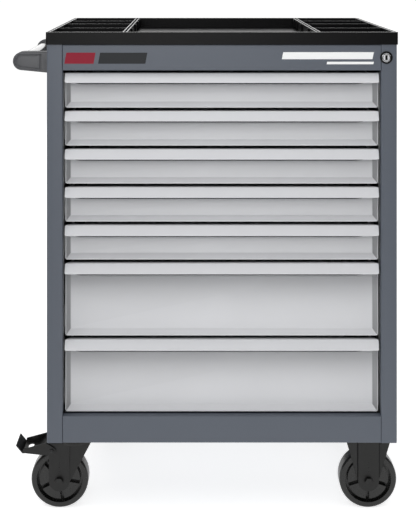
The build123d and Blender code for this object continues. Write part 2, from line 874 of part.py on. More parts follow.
side_panel("side_panel_left", lock_hole=False, screw_holes=True)
side_panel("side_panel_right", lock_hole=True, screw_holes=False)
front_rail("top_fascia", opening_top, body_top)
front_rail("plinth", body_bottom, opening_bottom)
back_panel()
inner_plate("base_plate", body_bottom, base_metal)
inner_plate("top_deck", body_top - sheet, sheet)
slide_uprights()
slides()
drawers()
lock()
organiser_tray()
push_handle()
casters()
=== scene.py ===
"""Seven-drawer rolling tool chest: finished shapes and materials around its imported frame.

Every piece is in metres, in the frame's own coordinates: +Z up, the drawers open towards -Y and the floor is
Z = 0.
"""

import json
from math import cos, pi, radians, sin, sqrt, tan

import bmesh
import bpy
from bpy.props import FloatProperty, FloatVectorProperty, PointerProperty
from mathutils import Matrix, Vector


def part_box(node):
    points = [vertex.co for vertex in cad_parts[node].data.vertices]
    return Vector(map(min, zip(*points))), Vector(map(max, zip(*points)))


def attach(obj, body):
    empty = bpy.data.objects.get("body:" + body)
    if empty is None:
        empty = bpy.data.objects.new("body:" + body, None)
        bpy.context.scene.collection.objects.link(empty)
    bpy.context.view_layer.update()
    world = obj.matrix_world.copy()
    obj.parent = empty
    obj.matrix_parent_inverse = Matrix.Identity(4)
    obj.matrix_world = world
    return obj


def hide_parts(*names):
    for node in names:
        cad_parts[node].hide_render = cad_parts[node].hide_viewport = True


bl_info = {
    "name": "Rolling Tool Chest",
    "version": (1, 0, 0),
    "blender": (4, 5, 0),
    "location": "View3D > Sidebar > Tool Chest",
    "description": "Builds the finished shapes and materials of a rolling tool chest around its packed frame",
    "category": "Object",
}

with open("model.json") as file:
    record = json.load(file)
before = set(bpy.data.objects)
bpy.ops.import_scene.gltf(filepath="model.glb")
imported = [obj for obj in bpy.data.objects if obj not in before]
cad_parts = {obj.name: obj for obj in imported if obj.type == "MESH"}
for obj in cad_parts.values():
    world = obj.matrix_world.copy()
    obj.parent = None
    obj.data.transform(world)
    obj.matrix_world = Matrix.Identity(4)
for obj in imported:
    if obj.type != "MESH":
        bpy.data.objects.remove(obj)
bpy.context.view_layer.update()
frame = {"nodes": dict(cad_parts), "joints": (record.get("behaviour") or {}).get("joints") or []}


def mm(value):
    """Millimetres to metres."""
    return value / 1000


def linear(hex_colour):
    """An sRGB hex colour as linear red, green and blue."""
    parts = [int(hex_colour[i : i + 2], 16) / 255 for i in (1, 3, 5)]
    return [c / 12.92 if c <= 0.04045 else ((c + 0.055) / 1.055) ** 2.4 for c in parts]


def colour(name, hex_colour, description):
    default = linear(hex_colour)
    return FloatVectorProperty(name=name, description=description, subtype="COLOR", default=default)


def length(name, millimetres, description):
    return FloatProperty(name=name, description=description, unit="LENGTH", default=mm(millimetres))


def amount(name, default, description):
    return FloatProperty(name=name, description=description, default=default)


# ------------------------------------------------------------------ places taken from the frame

front_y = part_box("top_fascia")[0].y
back_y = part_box("back_panel")[1].y
left_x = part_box("side_panel_left")[0].x
right_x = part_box("side_panel_right")[1].x
centre_x = (left_x + right_x) / 2
drawer_count = sum(1 for node in frame["nodes"] if node.startswith("drawer_") and node.endswith("_front"))
caster_ends = ("front_left", "rear_left", "front_right", "rear_right")


# ------------------------------------------------------------------ settings


class ChestColours(bpy.types.PropertyGroup):
    """Colours of the finishes."""

    cabinet: colour("Cabinet", "#535963", "Slate grey powder coat of the body")
    drawer: colour("Drawers", "#D6D7DA", "Light grey powder coat of the drawers")
    tray: colour("Tray", "#070708", "Black plastic of the organiser tray")
    # Painted highlight: the tray's top edges get a lighter colour than the tray itself, standing in for the
    # highlights along them.
    tray_edge: colour("Tray edges", "#1C1D1E", "The tray's top edges, painted lighter as a highlight, and glossier")
    bracket: colour("Handle brackets", "#4E4F52", "Black plastic of the handle's brackets")
    tube: colour("Handle tube", "#060607", "Gloss black of the handle's tube")
    fork: colour("Casters", "#0D0D0C", "Black coating of the casters' steel")
    wheel: colour("Wheels", "#131312", "Black plastic of the wheels")
    trim: colour("Edge trim", "#2B2D2E", "Dark rubber along each pull's lower edge")
    stripe_red: colour("Red stripe", "#86142A", "Printed block at the left of the fascia")
    stripe_dark: colour("Dark stripe", "#25272A", "Printed block beside the red one")
    stripe_white: colour("White stripe", "#F4F5F5", "Printed bands at the right of the fascia")
    zinc: colour("Zinc", "#A9ABAC", "Bright plating of slides and fasteners")
    chrome: colour("Chrome", "#D5D6D8", "Polished ring of the lock")
    paper: colour("Floor", "#F7F7F7", "Pale paper that the chest stands on")


class ChestFronts(bpy.types.PropertyGroup):
    """Sizes of the pressed drawer fronts."""

    sheet: length("Sheet", 1.2, "Thickness of the folded sheet")
    rim: length("Rim", 2.0, "Width of the flat rim round the pressed panel")
    side_slope: length("Side slope", 7.5, "Width of the slopes at the panel's left and right")
    low_slope: length("Low slope", 8.5, "Height of the slope at the panel's lower edge")
    dish: length("Dish", 10.0, "Depth of the panel behind the rim")
    corner: length("Corner", 4.0, "Radius of the lower outer corners")
    flange: length("Flange", 15.2, "Depth of the pull's top flange")
    lip_height: length("Lip height", 18.2, "Drop of the pull's slanted lip")
    bend: length("Bend", 2.4, "Outside radius of the pull's folds")
    hem: length("Hem", 3.0, "Thickness of the hemmed lower edge")
    end_cut: length("End cut", 10.0, "How far the flange's ends are cut back")
    end_round: length("End round", 3.0, "Radius of the lip's lower corners")
    trim_drop: length("Trim drop", 2.6, "How far the edge trim shows under the lip")


class ChestTray(bpy.types.PropertyGroup):
    """Sizes of the organiser tray."""

    floor: length("Floor", 3.0, "Thickness of the tray's floor")
    rim: length("Rim", 8.0, "Width of the outer rim")
    lip: length("Lip", 3.2, "Width of the raised edge on the rim")
    inner_lip: length("Inner lip", 2.4, "Width of the lower edge inside it")
    step: length("Step", 2.0, "Depth of the channel between the two")
    divider: length("Divider", 9.0, "Width of the walls between the bays")
    divider_x: length("Divider place", 193.5, "Distance of those walls from the middle")
    groove: length("Groove", 5.0, "Width of the groove along their tops")
    cross_wall: length("Cross wall", 5.0, "Thickness of the walls across a side bay")
    cross_drop: length("Cross wall drop", 1.0, "How far the cross walls stay under the rim")


class ChestView(bpy.types.PropertyGroup):
    """The camera's place and the lights' strengths."""

    distance: length("Distance", 1886.0, "Camera to the front of the cabinet")
    height: length("Height", 1113.0, "Camera above the floor")
    offset: length("Offset", -57.4, "Camera from the cabinet's middle")
    lens: amount("Lens", 65.11, "Focal length in millimetres")
    shift_x: amount("Shift X", 0.0286, "Lens shift sideways")
    shift_y: amount("Shift Y", -0.5771, "Lens shift downwards")
    room: amount("Room", 0.40, "Strength of the studio's even light")
    overhead: amount("Overhead", 20.0, "Power of the overhead softbox in watts")
    front: amount("Front", 52.0, "Power of the front softbox in watts")
    left: amount("Left", 9.0, "Power of the left softbox in watts")
    back: amount("Back", 22.0, "Power of the back softbox in watts")
    paper: amount("Paper glow", 0.68, "Light that comes through the paper floor")
    shade_right: amount("Right shade", 0.01, "Grey level of the panel at the right")
    shade_left: amount("Left shade", 0.12, "Grey level of the panel at the left")


class ChestSettings(bpy.types.PropertyGroup):
    """Everything that the panel shows."""

    colours: PointerProperty(type=ChestColours)
    fronts: PointerProperty(type=ChestFronts)
    tray: PointerProperty(type=ChestTray)
    view: PointerProperty(type=ChestView)


# ------------------------------------------------------------------ node trees and materials


def add(tree, kind, settings=None, inputs=None):
    """Adds a node, sets its properties, and sets or links its inputs by name or number."""
    made = tree.nodes.new(kind)
    for name, value in (settings or {}).items():
        setattr(made, name, value)
    for name, value in (inputs or {}).items():
        if isinstance(value, bpy.types.NodeSocket):
            tree.links.new(value, made.inputs[name])
        else:
            made.inputs[name].default_value = value
    return made


def shader(name, base, roughness, metallic=0.0, **sockets):
    """A new material and its Principled shader, with even values on the shader's own sockets."""
    made = bpy.data.materials.get(name)
    if made:
        bpy.data.materials.remove(made)
    made = bpy.data.materials.new(name)
    made.use_nodes = True
    surface = made.node_tree.nodes["Principled BSDF"]
    surface.inputs["Base Color"].default_value = (*base, 1)
    surface.inputs["Roughness"].default_value = roughness
    surface.inputs["Metallic"].default_value = metallic
    for socket, value in sockets.items():
        surface.inputs[socket.replace("_", " ")].default_value = value
    return made, made.node_tree, surface


def place(tree, stretch=(1, 1, 1)):
    """Object coordinates in metres, stretched along the axes where a pattern has a direction."""
    here = add(tree, "ShaderNodeTexCoord").outputs["Object"]
    if stretch == (1, 1, 1):
        return here
    return add(tree, "ShaderNodeMapping", None, {"Vector": here, "Scale": stretch}).outputs["Vector"]


def relief(tree, surface, where, size_mm, depth_mm, strength, detail=2.0):
    """Noise bump whose lumps are size_mm across."""
    noise = {"Vector": where, "Scale": 1000 / size_mm, "Detail": detail}
    lumps = add(tree, "ShaderNodeTexNoise", None, noise)
    bump = add(
        tree,
        "ShaderNodeBump",
        None,
        {"Height": lumps.outputs["Fac"], "Distance": mm(depth_mm), "Strength": strength},
    )
    tree.links.new(bump.outputs["Normal"], surface.inputs["Normal"])
    return lumps.outputs["Fac"]


def drift(tree, surface, where, base, size_mm, spread):
    """Slow colour variation: the base colour shifts by plus or minus the spread over size_mm."""
    cloud = add(tree, "ShaderNodeTexNoise", None, {"Vector": where, "Scale": 1000 / size_mm, "Detail": 3.0})
    low = [c * (1 - spread) for c in base]
    high = [min(1, c * (1 + spread)) for c in base]
    mix = add(
        tree,
        "ShaderNodeMix",
        {"data_type": "RGBA"},
        {"Factor": cloud.outputs["Fac"], 6: (*low, 1), 7: (*high, 1)},
    )
    tree.links.new(mix.outputs[2], surface.inputs["Base Color"])


def polish(tree, surface, source, low, high):
    """Roughness that runs from low to high with a pattern."""
    level = add(tree, "ShaderNodeMapRange", None, {"Value": source, "To Min": low, "To Max": high})
    tree.links.new(level.outputs["Result"], surface.inputs["Roughness"])


def powder_coat(name, base, roughness, side_shade_kept=1.0):
    """Polyester powder coat: satin, with a soft orange peel.

    The real peel is about 1 mm across and is drawn at 4. Faces turned sideways get painted shade: their colour is
    darkened by how far their normal points along X, and the last argument is how much of the colour they keep.
    """
    made, tree, surface = shader(name, base, roughness, Specular_IOR_Level=0.45)
    where = place(tree)
    drift(tree, surface, where, base, 120, 0.025)
    # Painted shade: faces turned sideways are darkened, so that the pressed fronts' side slopes look shaded.
    if side_shade_kept < 1:
        faces = add(tree, "ShaderNodeTexCoord").outputs["Normal"]
        sideways = add(tree, "ShaderNodeSeparateXYZ", None, {0: faces}).outputs["X"]
        turned = add(tree, "ShaderNodeMath", {"operation": "ABSOLUTE"}, {0: sideways}).outputs[0]
        limits = {"Value": turned, "From Max": 0.8, "To Min": 1.0, "To Max": side_shade_kept}
        painted_side_shade = add(tree, "ShaderNodeMapRange", None, limits)
        coat = surface.inputs["Base Color"].links[0].from_socket
        mix = add(
            tree,
            "ShaderNodeMix",
            {"data_type": "RGBA", "blend_type": "MULTIPLY"},
            {"Factor": 1.0, 6: coat, 7: painted_side_shade.outputs["Result"]},
        )
        tree.links.new(mix.outputs[2], surface.inputs["Base Color"])
    peel = relief(tree, surface, where, 4.0, 0.05, 0.35)
    polish(tree, surface, peel, roughness - 0.05, roughness + 0.06)
    return made


def moulded_plastic(name, base, roughness, grain_mm, specular=0.35):
    """Spark-eroded moulding grain on black plastic: under a millimetre, so it is drawn coarser to show."""
    made, tree, surface = shader(name, base, roughness, IOR=1.5, Specular_IOR_Level=specular)
    where = place(tree)
    drift(tree, surface, where, base, 60, 0.12)
    grain = relief(tree, surface, where, grain_mm, 0.12, 0.4, detail=4.0)
    polish(tree, surface, grain, roughness - 0.08, roughness + 0.08)
    return made


def gloss_enamel(name, base):
    """Gloss black powder coat on the round handle tube: sharp reflections, slight waviness along the tube."""
    made, tree, surface = shader(name, base, 0.16, Coat_Weight=0.6, Coat_Roughness=0.08)
    where = place(tree, (1, 0.25, 1))
    drift(tree, surface, where, base, 80, 0.1)
    relief(tree, surface, where, 9.0, 0.03, 0.2)
    return made


def coated_steel(name, base):
    """Black electrocoat on pressed steel: thin, slightly uneven, with faint drawing marks down the sheet."""
    made, tree, surface = shader(name, base, 0.42, Specular_IOR_Level=0.35)
    where = place(tree, (1, 1, 0.3))
    drift(tree, surface, where, base, 35, 0.18)
    marks = relief(tree, surface, where, 3.0, 0.08, 0.45, detail=3.0)
    polish(tree, surface, marks, 0.34, 0.52)
    return made


def zinc_plate(name, base, stretch=(1, 0.05, 1)):
    """Bright zinc on rolled steel: fine streaks along the rolling direction and a cloudy shine."""
    made, tree, surface = shader(name, base, 0.32, metallic=1.0)
    where = place(tree, stretch)
    drift(tree, surface, where, base, 50, 0.08)
    streaks = relief(tree, surface, where, 2.5, 0.03, 0.3, detail=4.0)
    polish(tree, surface, streaks, 0.24, 0.42)
    return made


def polished_chrome(name, base):
    """Chrome on a turned zinc die casting: mirror-like, with faint turning marks."""
    made, tree, surface = shader(name, base, 0.09, metallic=1.0)
    where = place(tree)
    drift(tree, surface, where, base, 8, 0.05)
    relief(tree, surface, where, 1.5, 0.01, 0.2)
    return made


def printed_film(name, base):
    """Screen-printed ink: an even, slightly soft film over the powder coat's peel."""
    made, tree, surface = shader(name, base, 0.45, Specular_IOR_Level=0.2)
    where = place(tree)
    drift(tree, surface, where, base, 40, 0.03)
    relief(tree, surface, where, 4.0, 0.03, 0.25)
    return made


def edge_rubber(name, base):
    """Extruded edge trim: matt rubber with lines along the extrusion."""
    made, tree, surface = shader(name, base, 0.62, Specular_IOR_Level=0.3)
    where = place(tree, (0.1, 1, 1))
    drift(tree, surface, where, base, 30, 0.1)
    relief(tree, surface, where, 1.5, 0.08, 0.35)
    return made


def studio_paper(name, base, glow=0.0):
    """Pale background paper with a barely visible tooth, lit a little from below so that it stays white."""
    made, tree, surface = shader(
        name, base, 0.85, Specular_IOR_Level=0.1, Emission_Color=(1, 1, 1, 1), Emission_Strength=glow
    )
    where = place(tree)
    drift(tree, surface, where, base, 300, 0.004)
    relief(tree, surface, where, 6.0, 0.05, 0.1)
    return made


materials = {}


def make_materials(colours):
    """Fills the table of finishes that the pieces are given."""
    materials.update(
        cabinet=powder_coat("slate_powder_coat", colours.cabinet, 0.44),
        # Painted shade: the drawers' coat keeps 0.30 of its colour on faces turned sideways.
        drawer=powder_coat("silver_grey_powder_coat", colours.drawer, 0.40, 0.30),
        tray=moulded_plastic("black_abs_moulded", colours.tray, 0.34, 1.6, 0.12),
        # Painted highlight on the tray's top edges: a lighter colour than the tray, with a glossier finish.
        tray_edge=moulded_plastic("black_abs_painted_highlight_edge", colours.tray_edge, 0.16, 1.6, 0.6),
        bracket=moulded_plastic("black_nylon_moulded", colours.bracket, 0.42, 1.8, 0.5),
        tube=gloss_enamel("gloss_black_enamel", colours.tube),
        fork=coated_steel("black_coated_steel", colours.fork),
        wheel=moulded_plastic("black_polypropylene_moulded", colours.wheel, 0.26, 2.0, 0.45),
        trim=edge_rubber("dark_edge_rubber", colours.trim),
        stripe_red=printed_film("red_printed_film", colours.stripe_red),
        stripe_dark=printed_film("dark_printed_film", colours.stripe_dark),
        stripe_white=printed_film("white_printed_film", colours.stripe_white),
        zinc=zinc_plate("zinc_plated_slide_steel", colours.zinc),
        fastener=zinc_plate("zinc_plated_fastener", colours.zinc, (1, 1, 1)),
        chrome=polished_chrome("polished_chrome", colours.chrome),
    )


# ------------------------------------------------------------------ mesh helpers


def finish_mesh(mesh, smooth_angle=30):
    """Smooth shading that breaks at edges sharper than the angle."""
    mesh.shade_smooth()
    mesh.set_sharp_from_angle(angle=radians(smooth_angle))


def piece(name, shape, finish, body, stands_for=(), thickness=None, edge=None, smooth_angle=30):
    """Turns a bmesh into a finished piece riding on a body, its sharp edges rounded to the radius edge."""
    mesh = bpy.data.meshes.new(name)
    shape.to_mesh(mesh)
    shape.free()
    return dress(name, mesh, finish, body, stands_for, thickness, edge, smooth_angle)


def dress(name, mesh, finish, body, stands_for=(), thickness=None, edge=None, smooth_angle=30):
    """Gives a mesh its object, finish, shading and body."""
    made = bpy.data.objects.new(name, mesh)
    bpy.context.scene.collection.objects.link(made)
    mesh.materials.clear()
    mesh.materials.append(materials[finish])
    finish_mesh(mesh, smooth_angle)
    if thickness:
        wall = made.modifiers.new("Sheet", "SOLIDIFY")
        wall.thickness = thickness
        wall.offset = -1
    if edge:
        rounding = made.modifiers.new("Edge", "BEVEL")
        rounding.width = edge
        rounding.segments = 2
        rounding.limit_method = "ANGLE"
        rounding.angle_limit = radians(smooth_angle)
        rounding.harden_normals = True
    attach(made, body)
    if stands_for:
        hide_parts(*stands_for)
    return made


def paint(finish, *nodes):
    """Gives CAD nodes that keep their own shape a finish."""
    for node in nodes:
        mesh = frame["nodes"][node].data
        mesh.materials.clear()
        mesh.materials.append(materials[finish])


def cad_copy(*nodes):
    """A merged copy of CAD nodes' meshes, with their flat faces joined."""
    shape = bmesh.new()
    for node in nodes:
        shape.from_mesh(frame["nodes"][node].data)
    bmesh.ops.remove_doubles(shape, verts=shape.verts, dist=mm(0.004))
    bmesh.ops.dissolve_limit(shape, angle_limit=radians(0.5), verts=shape.verts, edges=shape.edges)
    return shape


def rounded_path(points, radii, steps=5):
    """A polyline with its inner corners rounded; radii has one value for each inner point."""
    path = [Vector(points[0])]
    for before, corner, after, radius in zip(points, points[1:], points[2:], radii):
        corner = Vector(corner)
        towards = (Vector(before) - corner).normalized()
        away = (Vector(after) - corner).normalized()
        half = towards.angle(away) / 2
        reach = radius / tan(half)
        middle = corner + (towards + away).normalized() * (radius / sin(half))
        start = corner + towards * reach - middle
        end = corner + away * reach - middle
        reached = start.length
        for k in range(steps + 1 if radius else 1):
            turned = start.normalized().slerp(end.normalized(), k / steps) if radius else start
            path.append(middle + turned * reached if radius else corner)
    path.append(Vector(points[-1]))
    return path


def along(path):
    """Distance along a polyline at each of its points."""
    total = [0.0]
    for a, b in zip(path, path[1:]):
        total.append(total[-1] + (b - a).length)
    return total


def point_at(path, distances, distance):
    """The point at a distance along a polyline."""
    for a, b, start, end in zip(path, path[1:], distances, distances[1:]):
        if distance <= end:
            return a.lerp(b, (distance - start) / (end - start) if end > start else 0)
    return path[-1]


def bridge(shape, rows, closed=False):
    """Quads between rows of vertices; each row is a list of positions."""
    made = [[shape.verts.new(position) for position in row] for row in rows]
    for lower, upper in zip(made, made[1:]):
        count = len(lower)
        for k in range(count if closed else count - 1):
            n = (k + 1) % count
            shape.faces.new((lower[k], lower[n], upper[n], upper[k]))
    return made


fine_turns = 64  # sides of the rounds that show their outline


def lathe(shape, centre, profile, steps=48):
    """Turns a profile of (radius, distance in front of the centre), in millimetres, about a line along Y."""
    rows = []
    for radius, forward in profile:
        turns = [2 * pi * k / steps for k in range(steps)]
        y = centre[1] - mm(forward)
        circle = [(centre[0] + mm(radius) * cos(t), y, centre[2] + mm(radius) * sin(t)) for t in turns]
        rows.append([Vector(point) for point in circle])
    return bridge(shape, rows, closed=True)


def pin(shape, centre, radius, proud, steps=16):
    """A small domed pin head on a face that looks towards -Y, sunk 0.6 mm into it."""
    rows = lathe(shape, centre, [(radius, -0.6), (radius, proud * 0.4), (radius * 0.6, proud)], steps)
    shape.faces.new(rows[0])
    shape.faces.new(rows[-1])


def tidy(shape, outward=True):
    """Merges doubles, drops faces with no area and points the rest outwards."""
    bmesh.ops.remove_doubles(shape, verts=shape.verts, dist=mm(0.02))
    bmesh.ops.dissolve_degenerate(shape, dist=mm(0.01), edges=shape.edges)
    if outward:
        bmesh.ops.recalc_face_normals(shape, faces=shape.faces)


def block(shape, low, high):
    """A box between two corners."""
    size = Vector(high) - Vector(low)
    middle = (Vector(high) + Vector(low)) / 2
    matrix = Matrix.Translation(middle) @ Matrix.Diagonal((*size, 1))
    return bmesh.ops.create_cube(shape, size=1, matrix=matrix)["verts"]


# ------------------------------------------------------------------ drawer fronts


def open_ring(low, high, side, base, y, radius, top, steps=5):
    """A U round the front: down the left, along the bottom and up the right, inset by side and base."""
    x0 = low.x + side
    x1 = high.x - side
    z0 = low.z + base
    radius = max(radius, mm(0.2))
    ring = [Vector((x0, y, top))]
    for k in range(steps + 1):
        turn = pi / 2 * k / steps
        ring.append(Vector((x0 + radius * (1 - cos(turn)), y, z0 + radius * (1 - sin(turn)))))
    for k in range(steps + 1):
        turn = pi / 2 * (1 - k / steps)
        ring.append(Vector((x1 - radius * (1 - cos(turn)), y, z0 + radius * (1 - sin(turn)))))
    ring.append(Vector((x1, y, top)))
    return ring


def pressed_panel(shape, sizes, low, high, rim_y):
    """Rim, slopes and panel of a front, as one open sheet facing forwards."""
    soft = mm(0.7)
    panel_y = rim_y + sizes.dish
    rear_y = panel_y + sizes.sheet
    side = sizes.rim + sizes.side_slope
    base = sizes.rim + sizes.low_slope
    notch = high.z - mm(8)
    top = high.z - sizes.sheet
    past_rim = sizes.rim + soft * 0.5
    rows = [
        open_ring(low, high, 0, 0, rear_y, sizes.corner, notch),
        open_ring(low, high, 0, 0, rim_y + soft, sizes.corner, notch),
        open_ring(low, high, soft * 0.3, soft * 0.3, rim_y + soft * 0.3, sizes.corner * 0.95, notch),
        open_ring(low, high, soft, soft, rim_y, sizes.corner - soft, notch),
        open_ring(low, high, sizes.rim - soft * 0.4, sizes.rim - soft * 0.4, rim_y, mm(2), notch),
        open_ring(low, high, past_rim, past_rim, rim_y + soft * 0.8, mm(1.6), notch),
        open_ring(low, high, side - soft, base - soft, panel_y - soft * 1.2, mm(0.9), top),
        open_ring(low, high, side, base, panel_y - soft * 0.3, mm(0.8), top),
        open_ring(low, high, side + soft * 1.6, base + soft * 1.6, panel_y, mm(0.8), top),
    ]
    made = bridge(shape, rows)
    shape.faces.new(made[-1])


def pull_profile(sizes, rear_y, top, lip_y):
    """The pull's outer surface from the flange's rear edge to the end of its hem, in Y and Z."""
    shoulder = Vector((rear_y - sizes.flange, top))
    lip = Vector((lip_y, top - sizes.lip_height))
    down = (lip - shoulder).normalized()
    inward = Vector((-down.y, down.x)) if down.x < 0 else Vector((down.y, -down.x))
    inward = Vector((abs(inward.x), -abs(inward.y)))
    fold = lip + inward * sizes.hem
    hem_end = fold - down * mm(5)
    points = [(rear_y, top), shoulder, lip, fold, hem_end]
    path = rounded_path(points, [sizes.bend, sizes.hem * 0.45, sizes.hem * 0.45], steps=5)
    lip_end = along(rounded_path(points[:3] + [lip + down * mm(0.01)], [sizes.bend, 0]))[-2]
    return path, lip_end


def folded_pull(shape, sizes, low, high, rear_y, lip_y):
    """Full-width pull: flange, slanted lip and hem, its ends cut back and rounded."""
    path, lip_end = pull_profile(sizes, rear_y, high.z, lip_y)
    distances = along(path)
    total = distances[-1]
    half = (high.x - low.x) / 2
    middle = (high.x + low.x) / 2
    ends = [0, 0.15, 0.5, 1.0, 1.7, 3.0, 6.0, 10.0]
    steps = [mm(t) for t in ends]
    rows = []
    for offset in [-half + t for t in steps] + [0.0] + [half - t for t in reversed(steps)]:
        t = half - abs(offset)
        start = sizes.flange * max(0, 1 - t / sizes.end_cut)
        stop = total
        if t < sizes.end_round:
            corner = sizes.end_round - sqrt(sizes.end_round**2 - (sizes.end_round - t) ** 2)
            stop = lip_end - corner
            start = start + (sizes.end_round - t) * 0.5
        row = []
        for distance in distances:
            at = point_at(path, distances, min(max(distance, start), stop))
            row.append(Vector((middle + offset, at.x, at.y)))
        rows.append(row)
    bridge(shape, rows)


def sheet_front(name, sizes, node, body):
    """One drawer front: pressed panel and folded pull, with the sheet's real thickness."""
    low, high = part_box(node)
    rear_y = high.y
    rim_y = rear_y - sizes.sheet - sizes.dish
    shape = bmesh.new()
    pressed_panel(shape, sizes, low, high, rim_y)
    bmesh.ops.recalc_face_normals(shape, faces=shape.faces)
    face_forward(shape, shape.faces)
    before = set(shape.faces)
    folded_pull(shape, sizes, low, high, rear_y, low.y + mm(1.6))
    bmesh.ops.remove_doubles(shape, verts=shape.verts, dist=mm(0.01))
    bmesh.ops.dissolve_degenerate(shape, dist=mm(0.005), edges=shape.edges)
    pull = [face for face in shape.faces if face not in before]
    bmesh.ops.recalc_face_normals(shape, faces=pull)
    face_forward(shape, pull)
    piece(name, shape, "drawer", body, (node,), thickness=sizes.sheet)


def face_forward(shape, faces):
    """Turns an open sheet's faces round if its biggest face looks backwards or down."""
    biggest = max(faces, key=lambda face: face.calc_area())
    if biggest.normal.y > 0 or (abs(biggest.normal.y) < 0.1 and biggest.normal.z < 0):
        bmesh.ops.reverse_faces(shape, faces=list(faces))


def edge_trim(name, sizes, node, body):
    """Rubber trim on the pull's lower edge, tapering to nothing at both ends."""
    low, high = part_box(node)
    lip_z = high.z - sizes.lip_height - mm(0.6)
    back = low.y + mm(4.6)
    thick = mm(2.2)
    left = low.x + mm(17)
    right = high.x - mm(28)
    taper = mm(14)
    shape = bmesh.new()
    rows = []
    for x, share in (
        (left, 0.0),
        (left + taper * 0.5, 0.6),
        (left + taper, 0.95),
        (left + taper * 1.4, 1.0),
        (right - taper * 1.8, 1.0),
        (right - taper * 1.3, 0.95),
        (right - taper * 0.6, 0.6),
        (right, 0.0),
    ):
        drop = mm(0.2) + sizes.trim_drop * share
        section = [
            (back, lip_z + mm(1.5)),
            (back, lip_z - drop + mm(0.7)),
            (back + mm(0.7), lip_z - drop),
            (back + thick - mm(0.7), lip_z - drop),
            (back + thick, lip_z - drop + mm(0.7)),
            (back + thick, lip_z + mm(1.5)),
        ]
        rows.append([Vector((x, y, z)) for y, z in section])
    made = bridge(shape, rows, closed=True)
    shape.faces.new(made[0])
    shape.faces.new(made[-1])
    tidy(shape)
    piece(name, shape, "trim", body)


class CHEST_OT_drawer_fronts(bpy.types.Operator):
    """Pressed drawer fronts with their folded pulls and rubber edge trims"""

    bl_idname = "tool_chest.drawer_fronts"
    bl_label = "Drawer fronts"

    def execute(self, context):
        sizes = context.scene.tool_chest.fronts
        for number in range(1, drawer_count + 1):
            node = f"drawer_{number}_front"
            body = f"drawer_{number}"
            sheet_front(f"drawer_{number}_pressed_front", sizes, node, body)
            edge_trim(f"drawer_{number}_edge_trim", sizes, node, body)
        return {"FINISHED"}


# ------------------------------------------------------------------ drawer boxes and slides


def start_tree(name, inputs):
    """A new Geometry Nodes tree with named inputs, and the sockets that carry them."""
    tree = bpy.data.node_groups.new(name, "GeometryNodeTree")
    tree.interface.new_socket("Geometry", in_out="OUTPUT", socket_type="NodeSocketGeometry")
    for label, kind in inputs.items():
        tree.interface.new_socket(label, in_out="INPUT", socket_type="NodeSocket" + kind)
    return tree, add(tree, "NodeGroupInput").outputs


def close_tree(tree, points, instance, finish):
    """Puts the instance on every point, makes the copies real and gives them their finish."""
    copies = add(tree, "GeometryNodeInstanceOnPoints", None, {"Points": points, "Instance": instance})
    real = add(tree, "GeometryNodeRealizeInstances", None, {"Geometry": copies.outputs["Instances"]})
    inputs = {"Geometry": real.outputs["Geometry"], "Material": materials[finish]}
    dressed = add(tree, "GeometryNodeSetMaterial", None, inputs)
    add(tree, "NodeGroupOutput", None, {"Geometry": dressed.outputs["Geometry"]})
    return tree


def ball_row_tree(finish):
    """Geometry Nodes tree: a straight row of balls of a given size, spacing and count along Y."""
    inputs = {"Start": "Vector", "Spacing": "Float", "Count": "Int", "Radius": "Float"}
    tree, given = start_tree("slide_ball_row", inputs)
    step = add(tree, "ShaderNodeCombineXYZ", None, {"Y": given["Spacing"]}).outputs[0]
    line = add(
        tree,
        "GeometryNodeMeshLine",
        {"mode": "OFFSET"},
        {"Count": given["Count"], "Start Location": given["Start"], "Offset": step},
    )
    ball = add(tree, "GeometryNodeMeshIcoSphere", None, {"Radius": given["Radius"], "Subdivisions": 2})
    smooth = add(tree, "GeometryNodeSetShadeSmooth", None, {"Geometry": ball.outputs["Mesh"]})
    return close_tree(tree, line.outputs["Mesh"], smooth.outputs["Geometry"], finish)


def grown(name, tree, values, points=()):
    """Runs a Geometry Nodes tree on a mesh of the given points and returns its result as a plain mesh."""
    mesh = bpy.data.meshes.new(name + "_points")
    mesh.from_pydata([tuple(point) for point in points], [], [])
    host = bpy.data.objects.new(name + "_host", mesh)
    bpy.context.scene.collection.objects.link(host)
    modifier = host.modifiers.new("Nodes", "NODES")
    modifier.node_group = tree
    for item in tree.interface.items_tree:
        if item.in_out == "INPUT" and item.name in values:
            modifier[item.identifier] = values[item.name]
    graph = bpy.context.evaluated_depsgraph_get()
    result = bpy.data.meshes.new_from_object(host.evaluated_get(graph))
    result.name = name
    host.modifiers.remove(modifier)
    bpy.data.objects.remove(host)
    return result


def joined(meshes):
    """One bmesh from several meshes."""
    shape = bmesh.new()
    for mesh in meshes:
        shape.from_mesh(mesh)
    return shape


class CHEST_OT_drawer_insides(bpy.types.Operator):
    """Drawer boxes, slide members and the rows of balls between them"""

    bl_idname = "tool_chest.drawer_insides"
    bl_label = "Drawer boxes and slides"

    def execute(self, context):
        tree = ball_row_tree("fastener")
        for number in range(1, drawer_count + 1):
            box = f"drawer_{number}_box"
            middle = f"drawer_{number}_slide_middle"
            inner = f"drawer_{number}_slide_inner"
            body = f"drawer_{number}"
            piece(f"{box}_hemmed", cad_copy(box), "drawer", body, (box,), edge=mm(0.35))
            piece(f"{inner}_rolled", cad_copy(inner), "zinc", body, (inner,), edge=mm(0.3))
            low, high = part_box(middle)
            rows = []
            for x in (low.x + mm(5.5), high.x - mm(5.5)):
                for z in (low.z + mm(2.0), high.z - mm(2.0)):
                    values = {
                        "Start": (x, low.y + mm(215), z),
                        "Spacing": mm(7.5),
                        "Count": 23,
                        "Radius": mm(1.5),
                    }
                    rows.append(grown(f"{middle}_balls", tree, values))
            piece(f"{middle}_ball_rows", joined(rows), "fastener", f"{body}_slides")
            shape = cad_copy(middle)
            piece(f"{middle}_rolled", shape, "zinc", f"{body}_slides", (middle,), edge=mm(0.3))
        paint("zinc", "slide_outer_members", "slide_uprights", "lock_spindle", "lock_bar")
        return {"FINISHED"}


# ------------------------------------------------------------------ cabinet body


